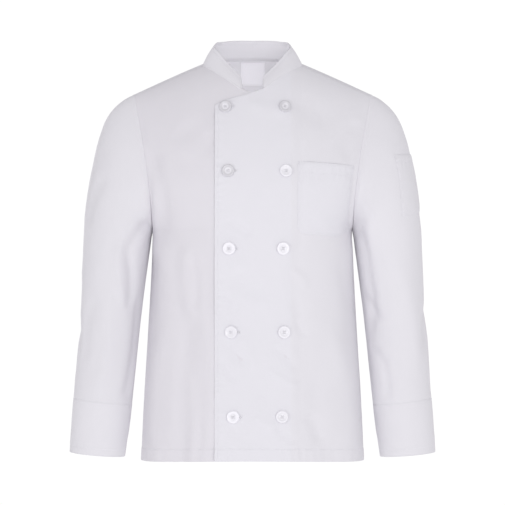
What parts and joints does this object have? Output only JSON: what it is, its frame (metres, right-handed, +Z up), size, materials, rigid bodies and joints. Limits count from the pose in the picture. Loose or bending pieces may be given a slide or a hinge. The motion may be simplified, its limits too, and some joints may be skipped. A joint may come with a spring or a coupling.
{
  "type": "chef jacket",
  "caption": "Double-breasted long-sleeved work jacket with a stand collar, deep cuffs, a chest pocket and a sleeve pocket, filled out and hollow.",
  "frame": {"origin": "the middle of the neck opening, level with the collar seam at the side of the neck, where the jacket rests on its wearer's shoulders", "axes": "+Z up, -Y the front of the jacket, +X the wearer's left"},
  "size_m": [0.6712, 0.2742, 0.7804],
  "materials": {
    "cloth": "white twill, matt with a faint sheen",
    "label_cloth": "white satin label tape, bare",
    "button": "white moulded plastic, polished"
  },
  "bodies": {
    "root": {"front_left": "cloth", "front_right": "cloth", "back": "cloth", "sleeve_left": "cloth", "sleeve_right": "cloth", "cuff_left": "cloth", "cuff_right": "cloth", "collar": "cloth", "chest_pocket": "cloth", "sleeve_pocket": "cloth", "label": "label_cloth", "button_1_lap": "button", "button_1_side": "button", "button_2_lap": "button", "button_2_side": "button", "button_3_lap": "button", "button_3_side": "button", "button_4_lap": "button", "button_4_side": "button", "button_5_lap": "button", "button_5_side": "button"}
  },
  "joints": []
}
